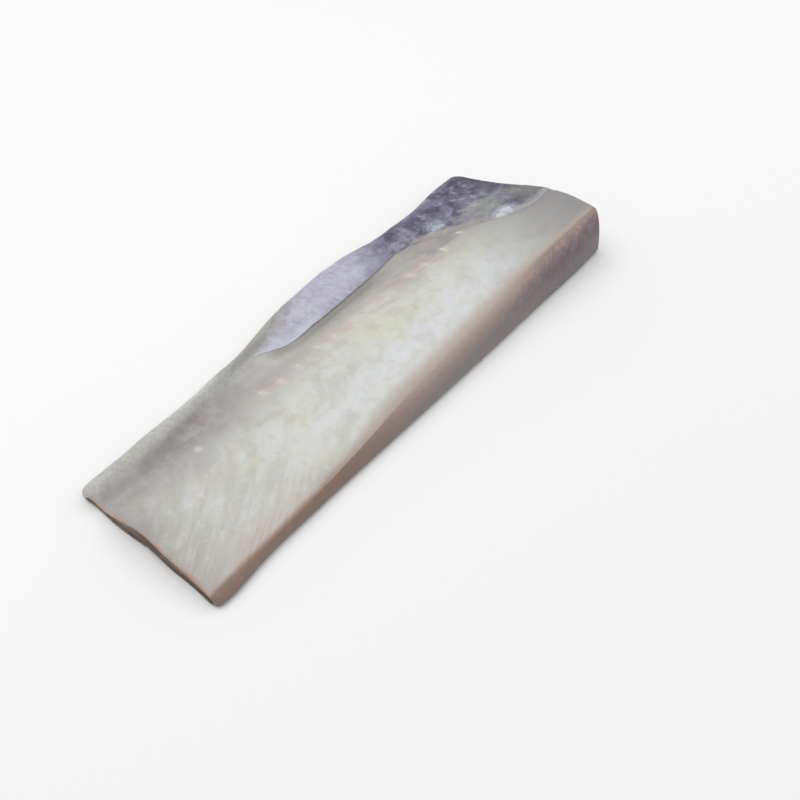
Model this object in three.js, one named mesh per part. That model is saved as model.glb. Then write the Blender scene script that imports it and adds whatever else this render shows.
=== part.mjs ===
// A loin of salted dried cod: a long slab cut along the back of a split fish.
//
// It lies on its skin with the flesh side up. X runs from the thin tail cut to the thick head cut, Y from the
// skin-covered back edge to the belly flap, and Z up from the table. The back muscle swells along the -Y side,
// a valley parts it from the thin belly flap, and the flap bulges past the straight belly cut in one place.
// Everything is one piece of fish, so it is one closed solid, lofted through cross-sections.
import * as THREE from 'three';
import { LoftGeometry } from 'three/addons/geometries/LoftGeometry.js';

// Driving dimensions, in millimetres.
const BACK_LENGTH = 378; // tail cut to head cut, along the back edge
const HEAD_CUT_SLANT = 0.068; // the head cut leans this much towards the tail for each mm across
const TAIL_WIDTH = 116;
const HEAD_WIDTH = 125;
const TAIL_HEIGHT = 14; // top of the back muscle at the tail cut
const HEAD_HEIGHT = 38.5; // top of the back muscle at the head cut
const FLAP_HEIGHT = 8.2; // top of the belly flap
const FLAP_BULGE = 9.2; // how far the flap swells past the straight belly cut
const WAIST = 2.6; // how far the belly cut dips in between that bulge and the head cut
const VALLEY_DEPTH = 2.4; // how far the valley lies below the flap
const VALLEY_FROM_BACK = 97; // distance of the valley from the back edge
const SKIN_LIFT = 3; // the skin stands this much off the table at the middle of the tail cut

// The rounding of the long edges, in cross-section.
const BACK_OFFSET = -2.2; // the back edge runs this far outside the nominal line
const BACK_RIM = 3; // height of the widest part of the back edge
const BACK_UNDERCUT = 5; // how far in from that rim the skin reaches the table
const SHOULDER = { tail: 5, middle: 17, head: 7.5 }; // radius from the back edge up to the flesh
const BELLY_RIM = 3;
const BELLY_UNDERCUT = 12;
const BELLY_RADIUS = 8;

// Corner radii in plan.
const TAIL_BACK_CORNER = 4;
const TAIL_BELLY_CORNER = 6;
const HEAD_BACK_CORNER = 2.5;
const HEAD_BELLY_CORNER = 3;

// How finely the loft follows the shape.
const SECTIONS = 60;
const POINTS_ACROSS = 25;
const END_CROWDING = 0.45; // how much closer the sections stand towards the cuts, where the corners turn

const { cos, exp, max, min, PI, sin } = Math;
const mix = (from, to, t) => from + (to - from) * t;
const step = (from, to, t) => THREE.MathUtils.smoothstep(t, from, to);
const hump = (centre, width, t) => exp(-(((t - centre) / width) ** 2));

// A rounded edge: 0 at the rim, rising to 1 at one radius from it. A higher power makes a squarer edge.
function rounded(distance, radius, power = 2) {
  const t = min(max(distance / radius, 0), 1);
  return (1 - (1 - t) ** power) ** (1 / power);
}

// How far two corners with these radii pull a long side in, in plan, at a share t of the length.
function cornerInset(t, tailRadius, headRadius) {
  const inset = (distance, radius) => radius * (1 - rounded(distance, radius));
  return inset(t * BACK_LENGTH, tailRadius) + inset((1 - t) * BACK_LENGTH, headRadius);
}

// The two long sides in plan, at a share t of the length.
function backEdge(t) {
  const skinFlare = -2.9 * hump(0.03, 0.06, t); // the skin spreads a little at the tail
  const sway = 0.9 * sin(2 * PI * (t + 0.04)) - 1.1 * hump(0.93, 0.09, t);
  return BACK_OFFSET + skinFlare + sway + cornerInset(t, TAIL_BACK_CORNER, HEAD_BACK_CORNER);
}

function bellyEdge(t) {
  const swelling = step(0.35, 0.54, t) - step(0.67, 0.785, t);
  const bulge = FLAP_BULGE * swelling * (1 - 0.2 * step(0.56, 0.7, t)) + 1.2 * hump(0.41, 0.07, t);
  const waist = WAIST * hump(0.87, 0.06, t);
  const ripple = 0.5 * sin(23 * t) + 0.4 * sin(41 * t + 1);
  const straight = mix(TAIL_WIDTH, HEAD_WIDTH, t);
  return straight + bulge - waist + ripple - cornerInset(t, TAIL_BELLY_CORNER, HEAD_BELLY_CORNER);
}

// The two cuts in plan. The knife wandered a little in the tail cut, and leaned in the head cut.
function tailCut(y) {
  const wander = 0.9 * sin(0.045 * y + 2.2) + 0.5 * sin(0.13 * y);
  return wander - 3.6 * hump(0, 24, y) - 2 * hump(116, 12, y);
}
const headCut = (y) => BACK_LENGTH - HEAD_CUT_SLANT * y + 0.9 * sin(0.06 * y + 0.6);

// The flesh surface at a share t of the length and y across, before its edges are rounded.
function fleshHeight(t, y) {
  // The muscle is highest along its crown, and falls from there to the flap and, less, to the back.
  const crown = mix(TAIL_HEIGHT, HEAD_HEIGHT, 0.35 * t + 0.65 * t ** 1.5);
  const crownLine = mix(62, 18, step(-0.1, 1.05, t));
  const slopeEnd = mix(VALLEY_FROM_BACK, 129, step(0.62, 1, t));
  const down = min(max((y - crownLine) / (slopeEnd - crownLine), 0), 1);
  const slope = 0.5 + 0.5 * cos(PI * down);
  const backFall = mix(6.5, 1.4, step(0, 0.75, t)) * (max(crownLine - y, 0) / crownLine) ** 2;
  // The valley runs out before the head cut, where the muscle spreads over the flap.
  const flap = FLAP_HEIGHT + 0.8 * sin(9 * t + 0.5) + 1.2 * hump(110, 7, y) * (1 - step(0.8, 1, t));
  const valley = VALLEY_DEPTH * (1 - step(0.66, 0.84, t)) * hump(VALLEY_FROM_BACK, mix(8, 5.5, t), y);
  const unevenness = 0.5 * sin(0.05 * y + 17 * t) + 0.35 * sin(0.11 * y - 29 * t + 1.3);
  return mix(flap, crown, slope) - backFall - valley + unevenness;
}

// Heights of the flesh and of the skin above the table.
function heights(t, y, back, belly) {
  const widening = step(0.05, 0.45, t);
  const shoulder = mix(mix(SHOULDER.tail, SHOULDER.middle, widening), SHOULDER.head, step(0.7, 1, t));
  const atBack = rounded(y - back, shoulder, mix(2.2, 1.9, widening));
  const atBelly = rounded(belly - y, BELLY_RADIUS);
  const rim = mix(BACK_RIM, BELLY_RIM, (y - back) / (belly - back));
  const top = rim + (fleshHeight(t, y) - rim) * min(atBack, atBelly);
  const under = min(rounded(y - back, BACK_UNDERCUT), rounded(belly - y, BELLY_UNDERCUT));
  const curledUp = SKIN_LIFT * hump(50, 12, y) * (1 - step(0, 0.06, t));
  return { top, bottom: max(rim * (1 - under), curledUp) };
}

// One closed cross-section: along the skin from the back to the belly, then over the flesh to the back again.
// A shut one has its skin and its flesh drawn together half way up, which closes a cut.
function crossSection(t, shut = false) {
  const back = backEdge(t);
  const belly = bellyEdge(t);
  const point = (j, side) => {
    const y = mix(back, belly, (1 - cos((PI * j) / POINTS_ACROSS)) / 2);
    const x = mix(tailCut(y), headCut(y), t);
    const at = heights(t, y, back, belly);
    return new THREE.Vector3(x, y, shut ? (at.top + at.bottom) / 2 : at[side]);
  };
  const skin = [];
  const flesh = [];
  for (let j = 0; j < POINTS_ACROSS; j++) {
    skin.push(point(j, 'bottom'));
    flesh.push(point(POINTS_ACROSS - j, 'top'));
  }
  return [...skin, ...flesh];
}

function loinGeometry() {
  const sections = [crossSection(0, true)];
  for (let i = 0; i <= SECTIONS; i++) {
    const even = i / SECTIONS;
    const crowded = (1 - cos(PI * even)) / 2;
    sections.push(crossSection(mix(even, crowded, END_CROWDING)));
  }
  sections.push(crossSection(1, true));
  return new LoftGeometry(sections);
}

// Cream flesh, which is most of what shows.
const flesh = new THREE.MeshStandardMaterial({ color: 0xd3d0c4, roughness: 0.55, metalness: 0 });

const loin = new THREE.Mesh(loinGeometry(), flesh);
loin.name = 'cod_loin';

// The origin is on the table, under the middle of the piece.
loin.geometry.computeBoundingBox();
const { min: low, max: high } = loin.geometry.boundingBox;
loin.position.set(-(low.x + high.x) / 2, -(low.y + high.y) / 2, -low.z);

const part = new THREE.Group();
part.add(loin);

export default part;
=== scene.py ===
from math import cos, pi, radians, sin

import bpy
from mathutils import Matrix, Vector


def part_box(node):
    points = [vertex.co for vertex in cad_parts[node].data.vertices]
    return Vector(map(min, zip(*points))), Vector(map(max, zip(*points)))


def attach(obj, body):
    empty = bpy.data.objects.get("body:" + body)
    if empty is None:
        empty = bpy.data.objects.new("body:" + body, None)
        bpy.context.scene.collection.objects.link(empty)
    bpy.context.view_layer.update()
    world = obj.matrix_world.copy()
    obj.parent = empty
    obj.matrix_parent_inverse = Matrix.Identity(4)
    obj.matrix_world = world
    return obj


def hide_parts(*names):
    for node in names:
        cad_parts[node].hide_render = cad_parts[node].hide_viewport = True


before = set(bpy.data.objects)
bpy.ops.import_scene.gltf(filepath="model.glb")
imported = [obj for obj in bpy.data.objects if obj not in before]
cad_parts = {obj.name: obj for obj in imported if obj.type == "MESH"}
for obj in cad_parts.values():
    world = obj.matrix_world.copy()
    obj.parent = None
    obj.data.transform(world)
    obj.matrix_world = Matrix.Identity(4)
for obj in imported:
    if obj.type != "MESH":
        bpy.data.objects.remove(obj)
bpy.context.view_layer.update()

LOW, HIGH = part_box("cod_loin")
MM = 0.001


# ------------------------------------------------------------------ sizes, in millimetres

# The cuts and the back edge reach a little past the nominal lines that x and y are measured from.
PAST_TAIL = 2.48
PAST_HEAD = 0.91
PAST_BACK = 4.67
LENGTH = (HIGH.x - LOW.x) / MM - PAST_TAIL - PAST_HEAD
BELOW_HEAD = 0.48  # the highest point lies this far below the nominal height of the head cut
HEAD_HEIGHT = (HIGH.z - LOW.z) / MM + BELOW_HEAD
TAIL_HEIGHT = 14  # top of the back muscle at the tail cut
TAIL_WIDTH = 116
HEAD_WIDTH = 125
FLAP_HEIGHT = 8.2  # top of the belly flap
FLAP_BULGE = 9.2  # how far the flap swells past the straight belly cut
WAIST = 2.6  # how far the belly cut dips in between that bulge and the head cut
VALLEY_DEPTH = 2.4  # how far the valley lies below the flap
VALLEY_FROM_BACK = 97
SKIN_LIFT = 3  # the skin stands this much off the table at the middle of the tail cut
HEAD_CUT_SLANT = 0.068  # the head cut leans this much towards the tail for each mm across

# The rounding of the long edges, in cross-section.
RIM_HEIGHT = 3  # height of the widest part of an edge
BACK_OVERHANG = 2.2  # the back edge runs this far outside the nominal line
BACK_UNDERCUT = 5  # how far in from the rim the skin reaches the table
BELLY_UNDERCUT = 12
BELLY_RADIUS = 8
TAIL_SHOULDER = 5  # radius from the back edge up to the flesh
MIDDLE_SHOULDER = 17
HEAD_SHOULDER = 7.5

# Corner radii in plan.
TAIL_BACK_CORNER = 4
HEAD_BACK_CORNER = 2.5
TAIL_BELLY_CORNER = 6
HEAD_BELLY_CORNER = 3

SKIN_THICKNESS = 1.1
SKIN_EDGE_LIFT = 0.12  # the skin stands this much off the shoulder at its edge
CUT_ROUNDING = 1.3  # radius of the flesh's edge round a cut
LINING_THICKNESS = 0.45
LINING_TIP = 146  # the lining runs out to a point this far from the tail cut
LINING_TIP_ACROSS = 109
LINING_INSET = 1.0  # it stops this far inside the belly edge
LINING_LIFT = 0.32  # it stands this far off the even form of the flesh
UNDER_LINING = 0.3  # the flesh is drawn in this far under it

# Where x and y are 0: the corner between the nominal lines of the tail cut and the back edge.
CORNER = Vector((LOW.x + PAST_TAIL * MM, LOW.y + PAST_BACK * MM, LOW.z))


# ------------------------------------------------------------------ expressions on nodes


class Field:
    """A socket of a node tree. Arithmetic on it adds the nodes that work it out."""

    def __init__(self, tree, socket):
        self.tree = tree
        self.socket = socket

    def math(self, operation, *others):
        return self.tree.math(operation, self, *others)

    def __add__(self, other):
        return self.math("ADD", other)

    def __sub__(self, other):
        return self.math("SUBTRACT", other)

    def __rsub__(self, other):
        return self.tree.math("SUBTRACT", other, self)

    def __mul__(self, other):
        return self.math("MULTIPLY", other)

    def __truediv__(self, other):
        return self.math("DIVIDE", other)

    def __rtruediv__(self, other):
        return self.tree.math("DIVIDE", other, self)

    def __pow__(self, other):
        return self.math("POWER", other)

    def __neg__(self):
        return self.math("MULTIPLY", -1)

    __radd__ = __add__
    __rmul__ = __mul__


class Tree:
    """Adds nodes to a shader or geometry tree."""

    def __init__(self, node_tree):
        self.nodes = node_tree.nodes
        self.links = node_tree.links

    def node(self, kind, settings={}, inputs={}):
        node = self.nodes.new(kind)
        for name, value in settings.items():
            setattr(node, name, value)
        for name, value in inputs.items():
            socket = self.socket(node.inputs, name)
            if isinstance(value, Field):
                self.links.new(value.socket, socket)
            else:
                socket.default_value = value
        return node

    @staticmethod
    def socket(sockets, name):
        """The socket with that identifier, name or number."""
        if isinstance(name, int):
            return sockets[name]
        found = [s for s in sockets if s.identifier == name] or [s for s in sockets if s.name == name]
        return found[0]

    def field(self, kind, settings={}, inputs={}, output=0):
        node = self.node(kind, settings, inputs)
        return Field(self, self.socket(node.outputs, output))

    def math(self, operation, *values):
        return self.field("ShaderNodeMath", {"operation": operation}, dict(enumerate(values)))

    def vector_math(self, operation, **values):
        return self.field("ShaderNodeVectorMath", {"operation": operation}, values, output="Vector")

    def combine(self, x, y, z):
        return self.field("ShaderNodeCombineXYZ", {}, {"X": x, "Y": y, "Z": z})

    def separate(self, vector):
        node = self.node("ShaderNodeSeparateXYZ", {}, {"Vector": vector})
        return [Field(self, socket) for socket in node.outputs]

    def noise(self, where, scale=1.0, detail=3.0, roughness=0.5, distortion=0.0):
        """Noise about 0.5, one feature to each 1 / scale of the place's units."""
        inputs = {"Vector": where, "Scale": scale, "Detail": detail, "Roughness": roughness}
        inputs["Distortion"] = distortion
        return self.field("ShaderNodeTexNoise", {}, inputs, output="Fac")

    def cells(self, where, scale):
        """How far a place is from the middle of its cell."""
        return self.field("ShaderNodeTexVoronoi", {}, {"Vector": where, "Scale": scale}, output="Distance")

    def blend(self, share, a, b):
        """Colour a turning into colour b."""
        inputs = {"Factor_Float": share, "A_Color": a, "B_Color": b}
        return self.field("ShaderNodeMix", {"data_type": "RGBA"}, inputs, output="Result_Color")


def tree_of(*values):
    """The tree of the first socket among the values."""
    return next(value.tree for value in values if isinstance(value, Field))


def mix(a, b, share):
    return a + (b - a) * share


def step(low, high, value):
    """0 below low, 1 above high, and smooth between."""
    inputs = {"Value": value, "From Min": low, "From Max": high}
    return value.tree.field("ShaderNodeMapRange", {"interpolation_type": "SMOOTHSTEP"}, inputs)


def fade(low, high, value):
    """1 below low, 0 above high, and smooth between."""
    return 1 - step(low, high, value)


def ramp(low, high, value):
    """0 below low, 1 above high, and straight between."""
    return value.tree.field("ShaderNodeMapRange", {}, {"Value": value, "From Min": low, "From Max": high})


def hump(centre, width, value):
    """1 at the centre, falling off to both sides."""
    away = (value - centre) / width
    return (-(away * away)).math("EXPONENT")


def least(a, b):
    return tree_of(a, b).math("MINIMUM", a, b)


def most(a, b):
    return tree_of(a, b).math("MAXIMUM", a, b)


def sine(value):
    return value.math("SINE")


def rounded(distance, radius, power=2.0):
    """A rounded edge: 0 at the rim, rising to 1 at one radius from it."""
    share = ramp(0, 1, distance / radius)
    return (1 - (1 - share) ** power) ** (1 / power)


# ------------------------------------------------------------------ the loin's form


class Loin:
    """The loin's outer surface as a rule, on the sockets of one geometry tree."""

    def __init__(self, sizes):
        self.length = sizes["Length"]
        self.widths = sizes["Tail width"], sizes["Head width"]
        self.heights = sizes["Tail height"], sizes["Head height"]
        self.flap_height = sizes["Flap height"]

    def corner_inset(self, t, tail_radius, head_radius):
        from_tail = tail_radius * (1 - rounded(t * self.length, tail_radius))
        return from_tail + head_radius * (1 - rounded((1 - t) * self.length, head_radius))

    def back_edge(self, t):
        skin_flare = -2.9 * hump(0.03, 0.06, t)
        sway = 0.9 * sine(2 * pi * (t + 0.04)) - 1.1 * hump(0.93, 0.09, t)
        return skin_flare + sway - BACK_OVERHANG + self.corner_inset(t, TAIL_BACK_CORNER, HEAD_BACK_CORNER)

    def belly_edge(self, t):
        swelling = step(0.35, 0.54, t) - step(0.67, 0.785, t)
        bulge = FLAP_BULGE * swelling * (1 - 0.2 * step(0.56, 0.7, t)) + 1.2 * hump(0.41, 0.07, t)
        ripple = 0.5 * sine(23 * t) + 0.4 * sine(41 * t + 1)
        straight = mix(*self.widths, t)
        outline = straight + bulge - WAIST * hump(0.87, 0.06, t) + ripple
        return outline - self.corner_inset(t, TAIL_BELLY_CORNER, HEAD_BELLY_CORNER)

    def head_cut(self, y):
        return self.length - HEAD_CUT_SLANT * y + 0.9 * sine(0.06 * y + 0.6)

    def flesh_height(self, t, y):
        crown = mix(*self.heights, 0.35 * t + 0.65 * t**1.5)
        crown_line = mix(62, 18, step(-0.1, 1.05, t))
        slope_end = mix(VALLEY_FROM_BACK, 129, step(0.62, 1, t))
        down = ramp(0, 1, (y - crown_line) / (slope_end - crown_line))
        slope = 0.5 + 0.5 * (pi * down).math("COSINE")
        back_fall = mix(6.5, 1.4, step(0, 0.75, t)) * (most(crown_line - y, 0) / crown_line) ** 2
        flap_swell = 1.2 * hump(110, 7, y) * fade(0.8, 1, t)
        flap = self.flap_height + 0.8 * sine(9 * t + 0.5) + flap_swell
        valley = VALLEY_DEPTH * fade(0.66, 0.84, t) * hump(VALLEY_FROM_BACK, mix(8, 5.5, t), y)
        unevenness = 0.5 * sine(0.05 * y + 17 * t) + 0.35 * sine(0.11 * y - 29 * t + 1.3)
        return mix(flap, crown, slope) - back_fall - valley + unevenness

    def share_along(self, x, y):
        """How far x is along the loin, from 0 at the tail cut to 1 at the head cut."""
        tail = tail_cut(y)
        return (x - tail) / (self.head_cut(y) - tail)

    def share_at(self, t, y):
        """How far y is across the loin, from 0 at the back edge to 1 at the belly edge."""
        back = self.back_edge(t)
        return (y - back) / (self.belly_edge(t) - back)

    def surface(self, t, share, under):
        """A point of the outer surface as x, y, z, and the height half way up the loin there.

        It lies on the skin side where under is 1, and on the flesh side where it is 0.
        """
        back, belly = self.back_edge(t), self.belly_edge(t)
        y = mix(back, belly, share)
        x = mix(tail_cut(y), self.head_cut(y), t)
        widening = step(0.05, 0.45, t)
        shoulder = mix(mix(TAIL_SHOULDER, MIDDLE_SHOULDER, widening), HEAD_SHOULDER, step(0.7, 1, t))
        at_back = rounded(y - back, shoulder, mix(2.2, 1.9, widening))
        at_belly = rounded(belly - y, BELLY_RADIUS)
        top = RIM_HEIGHT + (self.flesh_height(t, y) - RIM_HEIGHT) * least(at_back, at_belly)
        on_table = least(rounded(y - back, BACK_UNDERCUT), rounded(belly - y, BELLY_UNDERCUT))
        curled_up = SKIN_LIFT * hump(50, 12, y) * fade(0, 0.06, t)
        bottom = most(RIM_HEIGHT * (1 - on_table), curled_up)
        return x, y, mix(top, bottom, under), (top + bottom) / 2


def tail_cut(y):
    """How far the tail cut lies from its nominal line: the knife wandered a little."""
    wander = 0.9 * sine(0.045 * y + 2.2) + 0.5 * sine(0.13 * y)
    return wander - 3.6 * hump(0, 24, y) - 2 * hump(116, 12, y)


def skin_line(t):
    """How far in from the back edge the skin ends on the shoulder, before its edge is made ragged."""
    return 1.2 + 5.2 * step(0.1, 0.6, t) - 1.5 * step(0.75, 1, t)


def skin_edge(tree, x):
    """Where the skin ends on the shoulder."""
    ragged = tree.noise(tree.combine(x, 0, 0), 0.12, 4, 0.6) - 0.5
    return skin_line(x / LENGTH) + (1.2 + 1.6 * step(150, 320, x)) * ragged


def skin_top(t):
    """The height of that edge above the table."""
    return 9 + 27.5 * most(t, 0) ** 1.5


def lining_line(t):
    """Where the lining's free edge runs, across the loin."""
    return 101 + 9 * fade(0.36, 0.46, t) - 1.5 * hump(0.577, 0.1, t) - 59 * step(0.738, 0.97, t)


def flake_count(tree, x, y):
    """Numbers the flakes from the tail: its whole numbers are the seams between them.

    The seams cross the tail at a slant and stand straighter towards the head, where the flakes are wider.
    """
    lean = 46 * sine((y - 8) * (pi / 160)) * mix(2.1, 0.45, step(0, 320, x))
    here = tree.combine(x, y, 0)
    sway = 16 * (tree.noise(here, 0.02, 1) - 0.5) + 5 * (tree.noise(here, 0.09, 2) - 0.5)
    return 77 * (1 + (x - lean + sway + 60) / 500).math("LOGARITHM", 2.718)


def lumps(tree, x, y, z):
    """How far the surface stands out of its even form, in millimetres."""
    here = tree.combine(x, y, z)
    return 0.9 * (tree.noise(here, 0.045, 2) - 0.5) + 0.35 * (tree.noise(here, 0.18, 3) - 0.5)


FLAKE_STEP = 0.12  # height of a flake's edge, and depth of the groove beside it


def flakes(tree, x, y, z):
    """How far the flakes stand out, with a groove at each seam, in millimetres."""
    count = flake_count(tree, x, y)
    shows = step(0.38, 0.66, tree.noise(tree.combine(x, y, z), 0.04, 2))
    return (FLAKE_STEP * count.math("FRACT") - FLAKE_STEP * seam_of(count)) * shows


def bone_line(t):
    """Where the row of small bones runs, across the loin."""
    return 80 - 8 * step(0.45, 0.72, t)


BONES = 12
BONES_FROM = 122  # the first bone's place along the loin
BONE_SPACING = 17.2
STRAY_ALONG = 2.2  # the most that a bone stands out of its place in the row
STRAY_ACROSS = 1.5
BONE_HALF_WIDTH = 1.5
BONE_HALF_LENGTH = 4.4
BONE_DEPTH = 0.6  # half the height of a bone's tip
BONE_SHOWS = 0.17  # how far it stands out of the flesh


def bone_stray(number):
    """How far a small bone stands out of its place, as a share of the most, from -1 to 1."""
    return sine(2.4 * number + 1)


def seam_of(count):
    """1 on the seams between the flakes, 0 within them."""
    return hump(0, 0.16, count.math("PINGPONG", 0.5))


# ------------------------------------------------------------------ geometry trees


SIZES = {
    "Length": LENGTH,
    "Tail width": TAIL_WIDTH,
    "Head width": HEAD_WIDTH,
    "Tail height": TAIL_HEIGHT,
    "Head height": HEAD_HEIGHT,
    "Flap height": FLAP_HEIGHT,
}


def add(name, data):
    """Puts a new object with this data into the scene."""
    made = bpy.data.objects.new(name, data)
    bpy.context.scene.collection.objects.link(made)
    return made


def bake(name, material, sizes, build):
    """Makes a piece: a Geometry Nodes tree with named sizes, turned into a plain mesh."""
    group = bpy.data.node_groups.new(name, "GeometryNodeTree")
    group.interface.new_socket("Geometry", in_out="OUTPUT", socket_type="NodeSocketGeometry")
    inputs = {
        label: group.interface.new_socket(label, in_out="INPUT", socket_type="NodeSocketFloat")
        for label in sizes
    }
    tree = Tree(group)
    entry = tree.node("NodeGroupInput")
    shape = build(tree, {label: Field(tree, Tree.socket(entry.outputs, label)) for label in sizes})
    shape = tree.field("GeometryNodeRealizeInstances", {}, {"Geometry": shape})
    shape = tree.field("GeometryNodeSetShadeSmooth", {}, {"Geometry": shape})
    shape = tree.field("GeometryNodeSetMaterial", {}, {"Geometry": shape, "Material": material})
    tree.node("NodeGroupOutput", {}, {"Geometry": shape})

    piece = add(name, bpy.data.meshes.new(name))
    modifier = piece.modifiers.new("shape", "NODES")
    modifier.node_group = group
    for label, size in sizes.items():
        modifier[inputs[label].identifier] = float(size)
    evaluated = piece.evaluated_get(bpy.context.evaluated_depsgraph_get())
    mesh = bpy.data.meshes.new_from_object(evaluated)
    piece.modifiers.clear()
    piece.data = mesh
    mesh.name = name
    return piece


def sheet_of_points(tree, along, across):
    """A grid of faces that look up, and the share along and across it at each point."""
    inputs = {"Size X": 1.0, "Size Y": 1.0, "Vertices X": along, "Vertices Y": across}
    grid = tree.field("GeometryNodeMeshGrid", {}, inputs, output="Mesh")
    x, y, _ = tree.separate(tree.field("GeometryNodeInputPosition"))
    return grid, x + 0.5, y + 0.5


def place(tree, shape, x, y, z):
    """Moves the points to x, y, z on the loin's own axes."""
    at = tree.combine(x * MM + CORNER.x, y * MM + CORNER.y, z * MM + CORNER.z)
    return tree.field("GeometryNodeSetPosition", {}, {"Geometry": shape, "Position": at})


def push_out(tree, shape, distance):
    """Moves the points out of the surface by a distance in millimetres."""
    normal = tree.field("GeometryNodeInputNormal")
    offset = tree.vector_math("SCALE", Vector=normal, Scale=distance * MM)
    return tree.field("GeometryNodeSetPosition", {}, {"Geometry": shape, "Offset": offset})


def natural(tree):
    """The place of a point of a geometry tree on the loin's own axes, in millimetres."""
    x, y, z = tree.separate(tree.field("GeometryNodeInputPosition"))
    return (x - CORNER.x) / MM, (y - CORNER.y) / MM, (z - CORNER.z) / MM


def store(tree, shape, name, value):
    """Keeps a value at each point, under a name that stored() or a material reads."""
    settings = {"data_type": "FLOAT", "domain": "POINT"}
    inputs = {"Geometry": shape, "Name": name, "Value": value}
    return tree.field("GeometryNodeStoreNamedAttribute", settings, inputs)


def stored(tree, name):
    settings = {"data_type": "FLOAT"}
    return tree.field("GeometryNodeInputNamedAttribute", settings, {"Name": name}, output="Attribute")


MERGE_DISTANCE = 2e-7  # in metres


def merged(tree, shape):
    return tree.field("GeometryNodeMergeByDistance", {}, {"Geometry": shape, "Distance": MERGE_DISTANCE})


def thickened(tree, sheet, thickness):
    """A closed shell: the sheet, and its copy drawn inwards by a thickness in millimetres."""
    normal = tree.field("GeometryNodeInputNormal")
    inputs = {"Mesh": sheet, "Offset": normal, "Offset Scale": -1 * thickness * MM, "Individual": False}
    inner = tree.field("GeometryNodeExtrudeMesh", {"mode": "FACES"}, inputs, output="Mesh")
    inner = tree.field("GeometryNodeFlipFaces", {}, {"Mesh": inner})
    join = tree.node("GeometryNodeJoinGeometry")
    for part in (sheet, inner):
        tree.links.new(part.socket, join.inputs[0])
    return merged(tree, Field(tree, join.outputs[0]))


# ------------------------------------------------------------------ finishes


class Finish:
    """A material being made, with the place on the loin's own axes, in millimetres, to paint by."""

    def __init__(self, name):
        self.material = bpy.data.materials.new(name)
        self.material.use_nodes = True
        self.material.node_tree.nodes.clear()
        self.tree = Tree(self.material.node_tree)
        at = self.tree.field("ShaderNodeTexCoord", output="Object")
        x, y, z = self.tree.separate(at)
        self.x = (x - CORNER.x) / MM
        self.y = (y - CORNER.y) / MM
        self.z = (z - CORNER.z) / MM
        self.t = self.x / LENGTH

    def stretched(self, x, y, z):
        """The place with each axis scaled, for a pattern that is longer one way."""
        return self.tree.combine(self.x * x, self.y * y, self.z * z)

    def mottle(self, size, detail=3.0, roughness=0.5, distortion=0.0, shift=0):
        """Noise whose spots are about this many millimetres across. Another shift gives other spots."""
        place = self.tree.combine(self.x + 50 * shift, self.y, self.z)
        return self.tree.noise(place, 1 / size, detail, roughness, distortion)

    def attribute(self, name):
        return self.tree.field("ShaderNodeAttribute", {"attribute_name": name}, {}, output="Fac")

    def done(self, paint, roughness, height, depth, **fixed):
        """Puts the shader together. height is the bump in millimetres over depth millimetres."""
        inputs = {"Height": height, "Distance": depth * MM}
        normal = self.tree.field("ShaderNodeBump", {}, inputs, output="Normal")
        inputs = {"Base Color": paint, "Roughness": roughness, "Normal": normal}
        inputs.update({name.replace("_", " "): value for name, value in fixed.items()})
        shader = self.tree.field("ShaderNodeBsdfPrincipled", {}, inputs)
        self.tree.node("ShaderNodeOutputMaterial", {}, {"Surface": shader})
        return self.material


def colour(code):
    """Linear red, green, blue and alpha of a colour written as a hex code."""
    parts = [int(code[i:i + 2], 16) / 255 for i in (0, 2, 4)]
    return (*[c / 12.92 if c <= 0.04045 else ((c + 0.055) / 1.055) ** 2.4 for c in parts], 1.0)


CREAM = colour("d0d1ca")
COOL_WHITE = colour("dadde1")
BUTTER = colour("d0d0bb")
GREY_AND_SHADE = colour("a3a19d")
TAIL_GREY = colour("b0b0aa")
TAIL_MAUVE = colour("aca39f")
COOL_GREY = colour("b7babb")
HEAD_GREY = colour("8e8b8b")
MAUVE_GREY = colour("958c8b")
FLESH_GREEN = colour("c2c4b4")
FRAYED_BROWN = colour("a9a09a")
PINK_FLESH = colour("c3b3aa")
BONE_PALE = colour("d5d2cc")
BONE_PINK = colour("c8c0b9")
GREENISH = colour("adaca6")
SHADE_GREY = colour("878483")
DRIED_BEIGE_AND_SHADE = colour("b7a79e")
DRIED_TAN_AND_SHADE = colour("957763")
DRIED_BROWN_AND_SHADE = colour("4c3629")
DRIED_OLIVE_AND_SHADE = colour("79674f")
ORANGE_TINGE = colour("b8917a")


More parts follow.
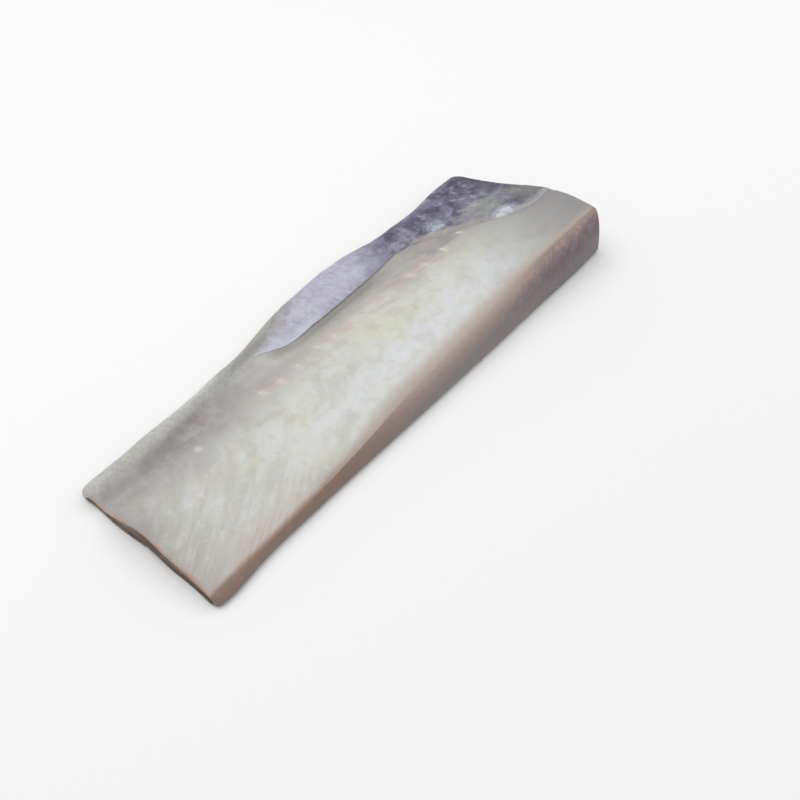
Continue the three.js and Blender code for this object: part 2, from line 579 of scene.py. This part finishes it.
def flesh_finish():
    """Cream flesh, mauve and grey towards the valley, browned at its edges and its cuts, with a painted
    highlight on top and painted shade in the hollows, on the shoulder, towards the head and on the tail
    cut.
    """
    f = Finish("salted_flesh")
    tree, x, y, z, t = f.tree, f.x, f.y, f.z, f.t
    cut = f.attribute("cut")
    clouds = f.mottle(34, 2)
    patches = f.mottle(12, 3)
    blots = f.mottle(16, 4, 0.55, shift=5)
    small = f.mottle(5, 3, 0.6)
    fine = f.mottle(2.2, 4, 0.6)
    fibres = tree.noise(f.stretched(0.14, 1.0, 0.9), 1.0, 4, 0.6)
    count = flake_count(tree, x, y)
    wisps = tree.noise(tree.combine(0.48 * count, 0.055 * y, 0), 1.0, 1, 0.5, 0.7)
    seam = seam_of(count) * step(0.42, 0.66, f.mottle(26, 2)) * (1 - cut)

    # Cream, with buttery and bluish white clouds and faint streaks across the flakes, and a painted
    # highlight in bluish white patches along the top, where less butter shows.
    buttery = 0.25 + 0.75 * hump(50, 14, y) * step(50, 90, x) * fade(215, 262, x)
    buttery = buttery * (1 - 0.8 * hump(26, 14, y) * step(190, 235, x))
    paint = tree.blend(buttery * step(0.4, 0.62, clouds), CREAM, BUTTER)
    # Painted highlight: bluish white where the top of the thick muscle faces the light.
    painted_highlight = hump(26, 14, y) * hump(225, 110, x) * step(0.3, 0.58, patches)
    paint = tree.blend(0.95 * painted_highlight, paint, COOL_WHITE)
    dull = fade(-60, 130, x) * (0.7 + 0.5 * patches)
    paint = tree.blend(0.9 * dull, paint, tree.blend(step(0.38, 0.62, blots), TAIL_GREY, TAIL_MAUVE))
    streaky = 0.33 - 0.12 * step(110, 190, x)
    paint = tree.blend(streaky * step(0.46, 0.74, wisps), paint, COOL_WHITE)
    paint = tree.blend(0.8 * streaky * fade(0.28, 0.52, wisps), paint, GREY_AND_SHADE)
    paint = tree.blend(0.3 * step(0.52, 0.66, f.mottle(8, 3, 0.6, shift=1)), paint, PINK_FLESH)
    paint = tree.blend(0.3 * step(0.5, 0.7, f.mottle(11, 3, 0.6, shift=2)), paint, FLESH_GREEN)
    paint = tree.blend(0.3 * step(0.52, 0.66, f.mottle(7, 3, 0.6, shift=3)), paint, COOL_WHITE)
    paint = tree.blend(0.08 * seam, paint, GREY_AND_SHADE)

    # It greys towards the valley. Painted shade darkens the valley, a crease in it, the crevice under the
    # lining's edge, a wider band beside that crevice and a strip along the belly edge.
    mauve = step(50, 100, y) * fade(70, 210, x) * (1 - 0.9 * step(101, 111, y))
    mauve = mauve * (0.7 + 0.3 * step(0, 60, x))
    paint = tree.blend(0.9 * mauve * (0.75 + 0.5 * patches), paint, MAUVE_GREY)
    above_bones = hump(87, 8, y) * step(110, 135, x) * fade(240, 270, x)
    paint = tree.blend(0.35 * above_bones, paint, MAUVE_GREY)
    bluish = step(55, 80, y) * fade(60, 175, x) * step(0.45, 0.65, f.mottle(9, 4, 0.6, shift=4))
    paint = tree.blend(0.5 * bluish, paint, COOL_GREY)
    near_head = step(52, 84, y) * step(222, 262, x) * (0.3 + 0.5 * blots)
    paint = tree.blend(near_head, paint, MAUVE_GREY)
    # Painted shade: a grey band spreading from the crevice under the lining's edge over flesh that is
    # greyer there.
    shade_by_lining = step(78, 93, y) * step(150, 205, x) * (1 - 0.4 * patches) * (1 - 0.5 * step(232, 256, x))
    paint = tree.blend(0.95 * shade_by_lining, paint, GREY_AND_SHADE)
    valley = hump(97.5 + 11 * step(45, 110, x) + 7 * step(105, 155, x), 4.5, y) * fade(150, 180, x)
    paint = tree.blend(0.8 * valley * (0.4 + patches) * (0.5 + 0.5 * step(5, 45, x)), paint, SHADE_GREY)
    crease = hump(99 + 8 * step(45, 110, x) + 5 * (clouds - 0.5), 1.5, y) * fade(110, 165, x)
    paint = tree.blend(0.4 * crease * step(0.3, 0.55, patches) * step(0, 25, x), paint, SHADE_GREY)
    edge = y - lining_line(t)
    crevice = hump(-3, 4, edge) * step(LINING_TIP, LINING_TIP + 12, x) * fade(232, 275, x)
    paint = tree.blend(0.65 * crevice, paint, SHADE_GREY)
    outside = step(103, 108, y) * fade(108, 118, y) * fade(150, 200, x)
    paint = tree.blend(0.5 * outside, paint, GREENISH)
    dark_rim = step(107, 112, y) * step(100, 135, x) * fade(190, 215, x)
    paint = tree.blend(0.6 * dark_rim * (0.6 + 0.6 * patches), paint, SHADE_GREY)
    grainy = step(96, 110, y) * fade(100, 170, x)
    paint = tree.blend(0.26 * grainy * step(0.48, 0.66, fine), paint, SHADE_GREY)
    paint = tree.blend(0.24 * grainy * fade(0.34, 0.52, fine), paint, CREAM)

    # Along the small bones it is pinker, between soft pale spots.
    in_row = hump(0, 9, y - bone_line(t)) * step(105, 125, x) * fade(320, 345, x)
    paint = tree.blend(0.7 * in_row * step(0.4, 0.6, f.mottle(9, 3, 0.6)), paint, PINK_FLESH)
    beside_row = hump(3, 14, y - bone_line(t)) * step(200, 250, x) * fade(325, 350, x)
    row_streaks = tree.noise(tree.combine(0.045 * x, 0.2 * (y + 0.25 * x), 0), 1.0, 3, 0.6)
    paint = tree.blend(0.6 * beside_row * step(0.5, 0.7, row_streaks), paint, FRAYED_BROWN)
    paint = tree.blend(0.5 * beside_row * fade(0.3, 0.48, row_streaks), paint, BONE_PALE)
    number = ((x - BONES_FROM) / BONE_SPACING).math("ROUND")
    along = x - BONES_FROM - BONE_SPACING * number - STRAY_ALONG * bone_stray(number)
    across = y - bone_line(t) - STRAY_ACROSS * bone_stray(number)
    spot = hump(0, 2.9, along + 6 * (small - 0.5)) * hump(0, 5.5, across + 5 * (small - 0.5))
    spot = spot * step(112, 120, x) * fade(318, 326, x) * (0.5 + 0.35 * step(250, 300, x))
    lone_spot = 0.8 * hump(65, 2.6, x + 4 * (small - 0.5)) * hump(80, 3, y)
    paint = tree.blend(spot + lone_spot, paint, BONE_PALE)
    frayed = step(0, 0.4, hump(306, 26, x) * hump(86, 14, y) + 1.2 * (f.mottle(7, 5, 0.65, shift=1) - 0.62))
    frayed_tone = tree.blend(step(0.4, 0.6, blots), FRAYED_BROWN, LINING_HAZE)
    paint = tree.blend(0.6 * frayed * (1 - cut), paint, frayed_tone)
    beside_lining = hump(-1.5, 4.5, edge) * step(262, 288, x) * (0.4 + patches) * (1 - cut)
    paint = tree.blend(0.65 * beside_lining, paint, frayed_tone)
    # Towards the head cut the flesh turns darker grey: partly its own colour, partly painted shade where
    # the light falls off.
    paint = tree.blend(0.95 * step(262, 385, x) * (1 - cut), paint, HEAD_GREY)

    # The flesh is dried and browned where it thins out over the skin, and along the tail cut. Its darkening
    # towards the skin is partly painted shade, where the shoulder rounds down to the back edge.
    brown_and_shade_width = 3.5 + 7 * step(0.2, 0.5, t) - 4 * step(0.72, 1, t) + 3 * (patches - 0.5)
    from_skin = (y - skin_edge(tree, x)) / brown_and_shade_width
    back_end = fade(4, 22, y) * fade(60, 140, x)
    paint = tree.blend(0.4 * back_end * (0.6 + 0.8 * patches), paint, DRIED_BEIGE_AND_SHADE)
    # Partly painted shade: beige, tan and olive darken the flesh towards the skin's edge on the rounded
    # shoulder.
    paint = tree.blend(0.9 * fade(0, 1.2, from_skin) * (1 - cut), paint, DRIED_BEIGE_AND_SHADE)
    paint = tree.blend(0.8 * fade(0, 0.8, from_skin) * fade(0.15, 0.4, t) * (1 - cut), paint, DRIED_TAN_AND_SHADE)
    paint = tree.blend(0.62 * fade(0, 0.45, from_skin) * step(0.7, 0.9, t) * (1 - cut), paint, DRIED_OLIVE_AND_SHADE)
    from_cut = x - tail_cut(y) + 2.5 * (small - 0.5)
    paint = tree.blend(0.6 * fade(2, 18, from_cut) * hump(62, 16, y), paint, MAUVE_GREY)
    duller = 0.13 * fade(16, 32, from_cut) + 0.14 * fade(1, 9, from_cut)
    paint = tree.blend(duller * fade(60, 72, y), paint, SHADE_GREY)
    paint = tree.blend(0.65 * fade(0.5, 3, from_cut) * step(0.38, 0.58, patches), paint, ORANGE_TINGE)

    # On the head cut the flakes show end on, as rings round the middle of the thick muscle.
    wide, high = (y - 40) / 2.4, z - 5
    rings = (wide * wide + high * high).math("SQRT") + 9 * (f.mottle(24, 3) - 0.5)
    ring_seam = hump(0, 0.12, (rings / 5.2).math("PINGPONG", 0.5)) * step(0.38, 0.6, patches)
    face = tree.blend(0.2 * step(0.35, 0.65, clouds), CREAM, BUTTER)
    face = tree.blend(0.3 * step(0.4, 0.65, blots), face, PINK_FLESH)
    face = tree.blend(0.3 * ring_seam, face, GREY_AND_SHADE)
    face = tree.blend(0.35 * step(0.5, 0.75, small), face, COOL_WHITE)
    face = tree.blend(0.5 * fade(1, 6, z), face, GREY_AND_SHADE)
    paint = tree.blend(cut * step(0.4, 0.6, t), paint, face)
    # The tail cut: tan to dark brown, darkest low down and in the middle; browned flesh and the skin's cut
    # edge, with painted shade on a face turned away from the light.
    tail_face = cut * fade(0.4, 0.6, t)
    paint = tree.blend(0.9 * tail_face, paint, DRIED_TAN_AND_SHADE)
    darkest = most(1 - step(5, 10, z), hump(52, 24, y))
    paint = tree.blend(tail_face * darkest, paint, DRIED_BROWN_AND_SHADE)

    relief = 0.16 * fine + 0.15 * fibres + 0.15 * wisps - 0.1 * seam - 0.5 * cut * ring_seam
    roughness = 0.36 + 0.2 * fine + 0.1 * cut
    return f.done(paint, roughness, relief, 0.9, Subsurface_Weight=0.12, Subsurface_Scale=0.003)


WALL_PINK = colour("ad9b93")
WALL_MAUVE = colour("978884")
WALL_GREY = colour("827a79")
SKIN_DARK = colour("5f565c")
SKIN_PURPLE = colour("6e5560")
SKIN_PINK = colour("b59a97")
SKIN_RED = colour("967f7a")
SKIN_BROWN = colour("806c60")
SKIN_PALE = colour("a69f93")
SKIN_OLIVE = colour("6f695c")
LINE_PALE = colour("c4beaf")


def skin_finish():
    """Skin that is brown to dark grey up the back edge, darkening downwards partly as painted shade, and
    spotted olive to pale underneath.
    """
    f = Finish("fish_skin")
    tree, x, y, z, t = f.tree, f.x, f.y, f.z, f.t
    under = f.attribute("under")
    spots = f.mottle(9, 4, 0.6, 0.6)
    specks = f.mottle(4.5, 4, 0.65, 0.5)
    streaks = tree.noise(f.stretched(0.3, 0.3, 0.12), 1.0, 3, 0.55)
    scales = tree.cells(f.stretched(1, 1, 1), 0.62)

    # The back edge: brown at the tail, and from pink through mauve to dark grey along the rest. The
    # darkening downwards, also on the brown at the tail, is partly the skin's colour and partly painted
    # shade where the edge curves under to the table.
    down = skin_top(t) + 1.5 * (streaks - 0.5) - z
    wall = tree.blend(step(-1, 4.5, down), WALL_PINK, WALL_MAUVE)
    wall = tree.blend(step(4, 12, down), wall, WALL_GREY)
    wall = tree.blend(0.22 * step(0.5, 0.75, streaks), wall, SKIN_PINK)
    reddish = hump(5, 4, down) * step(0.35, 0.65, spots) * fade(250, 330, x)
    wall = tree.blend(0.4 * reddish, wall, SKIN_RED)
    brown = tree.blend(0.6 * step(0.35, 0.65, spots), SKIN_BROWN, DRIED_TAN_AND_SHADE)
    brown = tree.blend(0.4 * step(2, 7, down) * step(0.4, 0.6, spots), brown, SKIN_DARK)
    wall = tree.blend(0.9 * fade(100, 200, x), wall, brown)
    head = step(230, 360, x)
    wall = tree.blend(0.3 * step(285, 330, x), wall, SKIN_DARK)
    wall = tree.blend(head * hump(9, 8, down) * (0.35 + 0.6 * step(0.38, 0.62, spots)), wall, SKIN_PURPLE)
    wall = tree.blend(0.5 * head * step(0.5, 0.7, specks) * step(2, 6, down), wall, SKIN_DARK)
    thin_tan = 0.5 * f.attribute("thin") * step(150, 210, x) * fade(275, 320, x)
    wall = tree.blend(thin_tan, wall, DRIED_BEIGE_AND_SHADE)
    dashes = f.attribute("thin") * step(200, 290, x) * step(0.45, 0.62, f.mottle(3.5, 2, 0.5, shift=6))
    wall = tree.blend(0.8 * dashes, wall, SKIN_PINK)

    # Underneath: spotted olive brown along the back, pale along the belly, with the pale side line.
    belly = tree.blend(step(45, 115, y), SKIN_OLIVE, SKIN_PALE)
    belly = tree.blend(0.6 * step(0.5, 0.62, spots) * (1 - 0.6 * step(70, 115, y)), belly, SKIN_DARK)
    belly = tree.blend(0.35 * step(0.5, 0.7, specks), belly, SKIN_DARK)
    side_line = hump(56 + 7 * step(150, 330, x), 1.5, y)
    belly = tree.blend(0.8 * side_line, belly, LINE_PALE)
    paint = tree.blend(under, wall, belly)

    relief = 0.3 * step(0.1, 0.7, scales) * under + 0.25 * specks + 0.3 * streaks
    roughness = 0.42 + 0.2 * specks
    return f.done(paint, roughness, relief, 0.5)


NAVY = colour("545268")
GREY_PURPLE = colour("747288")
SILVER = colour("b4b2c6")
SCRAPED_WHITE = colour("d0d7e0")
LINING_GREEN = colour("949b95")
LINING_HAZE = colour("8d8a8f")
LINING_OLIVE = colour("8b8880")
LINING_TAN = colour("a39b94")
PALE_MAUVE = colour("bcb8bf")
LINING_PALE = colour("9b9bab")
LINING_BLACK = colour("3b3a47")


def lining_finish():
    """The lining: silver on its thin end, nearly black at the head, with frayed and scraped places."""
    f = Finish("belly_lining")
    tree, x, y, z, t = f.tree, f.x, f.y, f.z, f.t
    blotches = f.mottle(13, 4, 0.6, 0.3)
    shreds = f.mottle(7, 5, 0.65, shift=1)
    specks = f.mottle(3.2, 4, 0.65)
    wrinkles = tree.noise(tree.combine((x + 0.5 * y) * 0.4, (y - 0.5 * x) * 0.09, z * 0.1), 1.0, 3, 0.55)
    edge = y - lining_line(t)

    # Silver on the thin end, with a brownish grey outer side.
    silver = tree.blend(0.35 * step(0.3, 0.7, blotches), SILVER, COOL_WHITE)
    silver = tree.blend(0.3 * step(0.5, 0.72, wrinkles), silver, GREY_PURPLE)
    silver = tree.blend(0.18 * step(0.5, 0.65, shreds), silver, LINING_HAZE)
    silver = tree.blend(0.22 * step(0.45, 0.7, specks), silver, GREY_PURPLE)
    past_tip = y - LINING_TIP_ACROSS - 0.3 * (x - LINING_TIP)
    outer = step(-9, 6, past_tip + 30 * (shreds - 0.5)) * fade(180, 225, x)
    silver = tree.blend(0.85 * outer, silver, tree.blend(step(0.4, 0.6, blotches), LINING_TAN, SHADE_GREY))

    # Dark towards the head, almost black along the head cut.
    dark = tree.blend(step(0.4, 0.6, blotches), NAVY, GREY_PURPLE)
    dark = tree.blend(0.8 * step(0.47, 0.66, shreds), dark, LINING_PALE)
    blackened = (0.45 + 0.35 * step(325, 350, x)) * step(0.48, 0.62, f.mottle(10, 4, 0.6, shift=2))
    dark = tree.blend(blackened, dark, LINING_BLACK)
    to_dark = step(236, 284, x + 40 * (shreds - 0.5) - 0.4 * (y - 108))
    paint = tree.blend(to_dark, silver, dark)

    # Pale and frayed where it runs up the thick muscle, with two places scraped white.
    frayed_zone = most(hump(338, 22, x) * hump(72, 17, y), 0.8 * hump(0, 7, edge) * step(285, 305, x))
    frayed = step(0.2, 0.7, frayed_zone + 1.4 * (shreds - 0.5))
    haze = tree.blend(step(0.4, 0.58, blotches), LINING_GREEN, LINING_HAZE)
    haze = tree.blend(0.5 * step(0.45, 0.65, f.mottle(5, 4, 0.6, shift=4)), haze, PALE_MAUVE)
    haze = tree.blend(0.6 * step(0.48, 0.65, f.mottle(8, 4, 0.6, shift=7)), haze, GREY_PURPLE)
    paint = tree.blend(0.85 * frayed, paint, haze)
    scraped = most(hump(313, 8, x) * hump(93, 7.5, y), hump(342, 10, x) * hump(56, 7, y))
    flecks = f.mottle(4.5, 5, 0.7, shift=3)
    white = step(0.15, 1, scraped) * (0.3 + step(0.42, 0.62, flecks))
    paint = tree.blend(least(white, 0.85) * (1 - 0.3 * hump(313, 12, x)), paint, SCRAPED_WHITE)
    lip = hump(0.5, 3.5, edge + 9 * (shreds - 0.5)) * (step(335, 350, x) + 1 - step(180, 215, x))
    paint = tree.blend(0.5 * lip, paint, tree.blend(step(330, 345, x), SCRAPED_WHITE, PALE_MAUVE))
    rim = fade(0, 6, edge + 8 * (flecks - 0.5)) * step(285, 300, x) * fade(325, 340, x)
    paint = tree.blend(0.65 * rim, paint, FRAYED_BROWN)
    shaded = fade(0, 3.5, edge + 6 * (flecks - 0.5)) * step(180, 205, x) * fade(255, 290, x)
    paint = tree.blend(0.35 * shaded, paint, GREY_PURPLE)
    olive = step(352, 366, x + 8 * (blotches - 0.5)) * fade(24, 36, edge) * step(4, 8, edge)
    paint = tree.blend(0.6 * olive, paint, LINING_OLIVE)
    near_cut = step(356, 372, x + 14 * (blotches - 0.5)) * step(26, 42, edge + 8 * (shreds - 0.5))
    paint = tree.blend(0.7 * near_cut, paint, LINING_BLACK)

    relief = 0.4 * wrinkles + 0.35 * specks + 0.3 * frayed
    return f.done(paint, 0.36 + 0.2 * specks, relief, 0.6)


def bone_finish():
    """Pale bone with pinkish spots."""
    f = Finish("bone_tip")
    paint = f.tree.blend(step(0.3, 0.7, f.mottle(4, 3)), BONE_PALE, BONE_PINK)
    return f.done(paint, 0.4 + 0.1 * f.mottle(2), f.mottle(1.2), 0.2)


# ------------------------------------------------------------------ pieces


CAP_ROWS = 12
EDGE_ROWS = 4
BODY_ROWS = 366
FLESH_COLUMNS = 246
UNDERSIDE_COLUMNS = 49  # the side that the skin hides is divided less finely


def flesh_shape(tree, sizes):
    """The flesh: a closed loft, finely divided, whose cuts are drawn together half way up."""
    loin = Loin(sizes)
    rows = 2 * (CAP_ROWS + EDGE_ROWS) + BODY_ROWS
    grid, u, v = sheet_of_points(tree, rows + 1, FLESH_COLUMNS)
    column = (1 - v) * (FLESH_COLUMNS - 1)
    v = (ramp(0, UNDERSIDE_COLUMNS, column) + ramp(UNDERSIDE_COLUMNS, FLESH_COLUMNS - 1, column)) / 2
    row = u * rows
    tail_shut = 1 - ramp(0, CAP_ROWS, row)
    tail_edge = ramp(CAP_ROWS, CAP_ROWS + EDGE_ROWS, row) * (pi / 2)
    body = ramp(CAP_ROWS + EDGE_ROWS, CAP_ROWS + EDGE_ROWS + BODY_ROWS, row)
    head_edge = ramp(rows - CAP_ROWS - EDGE_ROWS, rows - CAP_ROWS, row) * (pi / 2)
    head_shut = ramp(rows - CAP_ROWS, rows, row)
    along = (
        CUT_ROUNDING * (1 - tail_edge.math("COSINE")) + body * (loin.length - 2 * CUT_ROUNDING)
        + CUT_ROUNDING * sine(head_edge)
    )
    t = along / loin.length
    inset = CUT_ROUNDING * (1 - sine(tail_edge) + 1 - head_edge.math("COSINE"))

    # Where a cut is shut, its flesh side meets the coarser skin side point for point.
    under = v.math("LESS_THAN", 0.5)
    round_section = 2 * v.math("PINGPONG", 0.5)
    coarse = (round_section * UNDERSIDE_COLUMNS).math("ROUND") / UNDERSIDE_COLUMNS
    round_section = mix(round_section, coarse, most(tail_shut, head_shut).math("GREATER_THAN", 0.99))
    share = mix(round_section, 0.5 - 0.5 * (pi * round_section).math("COSINE"), 0.5)
    x, y, z, middle = loin.surface(t, share, under)
    half = most((z - middle).math("ABSOLUTE"), 0.01)
    shut = 1 - (1 - ramp(0, 1, inset / half)) * (1 - most(tail_shut, head_shut))
    shape = store(tree, grid, "cut", ramp(0, 0.02, most(tail_shut, head_shut)))
    shape = place(tree, shape, x, y, mix(z, middle, shut))
    shape = merged(tree, shape)

    # The flesh is drawn in under the skin and the lining. Elsewhere the flakes stand out.
    x, y, z = natural(tree)
    t = x / LENGTH
    edge = y - lining_line(t)
    crevice = hump(-2, 2.4, edge) * step(165, 195, x) * fade(240, 280, x)
    lined = step(0.4, 1.6, edge) * step(LINING_TIP - 2, LINING_TIP + 4, x)
    skinned = covered_by_skin(tree, x, y, z)
    bare = (1 - skinned) * (1 - lined)
    relief = lumps(tree, x, y, z) * (1 - skinned) + (flakes(tree, x, y, z) - crevice) * bare
    return push_out(tree, shape, relief - SKIN_THICKNESS * skinned - UNDER_LINING * lined)


def covered_by_skin(tree, x, y, z):
    """1 where the skin covers the outer surface, falling to 0 just inside the skin's edge."""
    over_back = 1 - ramp(-0.9, -0.35, y - skin_edge(tree, x))
    below = 1 - ramp(3.2, 4.2, z)
    return most(over_back, below)


SKIN_ROWS = 290
SKIN_COLUMNS = 168


def skin_shape(tree, sizes):
    """The skin: a shell under the loin, up its back edge and just round its belly edge."""
    loin = Loin(sizes)
    sheet, u, v = sheet_of_points(tree, SKIN_ROWS, SKIN_COLUMNS)
    v = 1 - v
    t = mix(u, 0.5 - 0.5 * (pi * u).math("COSINE"), 0.3)
    wall_end, bottom_end = 0.27, 0.95
    line = skin_line(t)
    wall_top = loin.share_at(t, skin_edge(tree, mix(tail_cut(line), loin.head_cut(line), t)))
    wall = wall_top * (1 - sine(ramp(0, wall_end, v) * (pi / 2)))
    bottom = 0.5 - 0.5 * (pi * ramp(wall_end, bottom_end, v)).math("COSINE")
    belly_turn = 0.003 * (1 - (ramp(bottom_end, 1, v) * (pi / 2)).math("COSINE"))
    under = v.math("GREATER_THAN", wall_end) * (1 - v.math("GREATER_THAN", bottom_end))
    share = wall + bottom - belly_turn
    x, y, z, _ = loin.surface(t, share, under)
    sheet = store(tree, sheet, "under", step(wall_end, wall_end + 0.03, v))
    sheet = store(tree, sheet, "thin", 1 - ramp(0, 0.1, v))
    sheet = push_out(tree, place(tree, sheet, x, y, z), SKIN_EDGE_LIFT * stored(tree, "thin"))
    return thickened(tree, sheet, SKIN_THICKNESS * (1 - 0.5 * stored(tree, "thin")))


LINING_ROWS = 300
LINING_COLUMNS = 90


def lining_shape(tree, sizes):
    """The belly lining: a thin shell over the flap, running out to a point towards the tail."""
    loin = Loin(sizes)
    sheet, u, v = sheet_of_points(tree, LINING_ROWS, LINING_COLUMNS)
    t = mix(LINING_TIP / LENGTH, 1, u)
    ragged = 2.4 * (tree.noise(tree.combine(22 * t, 0, 0), 1.0, 4, 0.6) - 0.5) * step(0, 0.08, u)
    free_edge = lining_line(t) + ragged
    belly = loin.belly_edge(t) - LINING_INSET
    outer = mix(LINING_TIP_ACROSS, belly, step(-0.02, 0.21, u))
    y = mix(free_edge, most(outer, free_edge), v)
    share = loin.share_at(t, y)
    x, y, z, _ = loin.surface(t, share, 0 * share)
    # Its free edge stands off the flesh in the middle, and clings to it towards the head.
    loose = (1 - ramp(0, 0.06, v)) * step(150, 200, x) * fade(230, 290, x)
    wrinkles = tree.noise(tree.combine((x + 0.5 * y) * 0.5, (y - 0.5 * x) * 0.09, 0), 1.0, 2) - 0.5
    clinging = (1 - ramp(0, 0.08, v)) * step(275, 295, x)
    lift = LINING_LIFT + 0.4 * loose - 0.24 * clinging + 0.25 * wrinkles * ramp(0, 0.1, v)
    lift = lift + lumps(tree, x, y, z)
    sheet = place(tree, store(tree, sheet, "lift", lift), x, y, z)
    return thickened(tree, push_out(tree, sheet, stored(tree, "lift")), LINING_THICKNESS)


def bone_shape(tree, sizes):
    """The cut ends of the small bones: low mounds in a row along the middle of the loin."""
    loin = Loin(sizes)
    points = tree.field("GeometryNodePoints", {}, {"Count": BONES}, output="Geometry")
    stray = bone_stray(tree.field("GeometryNodeInputIndex"))
    x = BONES_FROM + BONE_SPACING * tree.field("GeometryNodeInputIndex") + STRAY_ALONG * stray
    y = bone_line(x / LENGTH) + STRAY_ACROSS * stray
    ball = {"Segments": 24, "Rings": 14, "Radius": MM}
    tip = tree.field("GeometryNodeMeshUVSphere", {}, ball, output="Mesh")
    size = random_number(tree, 0.7, 1.25, seed=3)
    inputs = {
        "Points": place(tree, points, x, y, 0 * x),
        "Instance": tip,
        "Rotation": tree.combine(0, 0, 0.4 * stray - 0.1),
        "Scale": tree.combine(BONE_HALF_WIDTH * size, BONE_HALF_LENGTH * size, BONE_DEPTH),
    }
    shape = tree.field("GeometryNodeInstanceOnPoints", {}, inputs)
    shape = tree.field("GeometryNodeRealizeInstances", {}, {"Geometry": shape})

    # Each tip follows the flesh that it lies in, which slopes down to the belly.
    x, y, height = natural(tree)
    t = loin.share_along(x, y)
    z = loin.flesh_height(t, y)
    slope = loin.flesh_height(t, y + 0.5) - loin.flesh_height(t, y - 0.5)
    relief = (lumps(tree, x, y, z) + flakes(tree, x, y, z)) * (1 + slope * slope) ** 0.5
    return place(tree, shape, x, y, z + relief + height - BONE_DEPTH + BONE_SHOWS)


def random_number(tree, low, high, seed):
    inputs = {"Min_001": low, "Max_001": high, "Seed": seed}
    return tree.field("FunctionNodeRandomValue", {"data_type": "FLOAT"}, inputs, output="Value_001")


PIECES = {
    "flesh": (flesh_finish, flesh_shape),
    "skin": (skin_finish, skin_shape),
    "belly_lining": (lining_finish, lining_shape),
    "bone_tips": (bone_finish, bone_shape),
}

for name, (finish, shape) in PIECES.items():
    piece = bake(name, finish(), SIZES, shape)
    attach(piece, "root")
    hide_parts("cod_loin")


# ------------------------------------------------------------------ floor, light and camera


def plain(name, tint, roughness):
    material = bpy.data.materials.new(name)
    material.use_nodes = True
    shader = material.node_tree.nodes["Principled BSDF"]
    shader.inputs["Base Color"].default_value = tint
    shader.inputs["Roughness"].default_value = roughness
    return material


def soft_light(name, at, size, power):
    """A square lamp that shines at the middle of the frame."""
    lamp = bpy.data.lights.new(name, "AREA")
    lamp.size = size
    lamp.energy = power
    holder = add(name, lamp)
    holder.location = at
    holder.rotation_euler = (-Vector(at)).to_track_quat("-Z", "Y").to_euler()


FLOOR_SIZE = 8
FLOOR_TINT = (0.94, 0.94, 0.94, 1)
FLOOR_ROUGHNESS = 0.8
half = FLOOR_SIZE / 2
corners = [(-half, -half, 0), (half, -half, 0), (half, half, 0), (-half, half, 0)]
floor_mesh = bpy.data.meshes.new("floor")
floor_mesh.from_pydata(corners, [], [(0, 1, 2, 3)])
floor_mesh.materials.append(plain("pale_floor", FLOOR_TINT, FLOOR_ROUGHNESS))
floor = add("floor", floor_mesh)

SKY_TINT = (1, 1, 1, 1)
SKY_STRENGTH = 0.6
world = bpy.data.worlds.new("soft_sky")
world.use_nodes = True
sky = world.node_tree.nodes["Background"].inputs
sky["Color"].default_value = SKY_TINT
sky["Strength"].default_value = SKY_STRENGTH
bpy.context.scene.world = world
soft_light("key", at=(-0.3, 0.6, 1.7), size=1.6, power=14)
soft_light("fill", at=(1.3, -0.4, 1.2), size=1.2, power=5)
bpy.context.scene.view_settings.view_transform = "Standard"

# The camera looks down at the loin from beyond its tail, across its back edge.
LOOK_AT = CORNER + Vector((181.9, 16.9, 0)) * MM
VIEW_TURN = radians(-140.07)
VIEW_DOWN = radians(50)
VIEW_DISTANCE = 0.83386
FOCAL_LENGTH = 58.5
SENSOR_WIDTH = 36
towards = Vector((cos(VIEW_TURN) * cos(VIEW_DOWN), sin(VIEW_TURN) * cos(VIEW_DOWN), sin(VIEW_DOWN)))
lens = bpy.data.cameras.new("camera")
lens.lens = FOCAL_LENGTH
lens.sensor_width = SENSOR_WIDTH
lens.clip_start = 0.01
camera = add("camera", lens)
camera.location = LOOK_AT + towards * VIEW_DISTANCE
camera.rotation_euler = (-towards).to_track_quat("-Z", "Y").to_euler()
bpy.context.scene.camera = camera
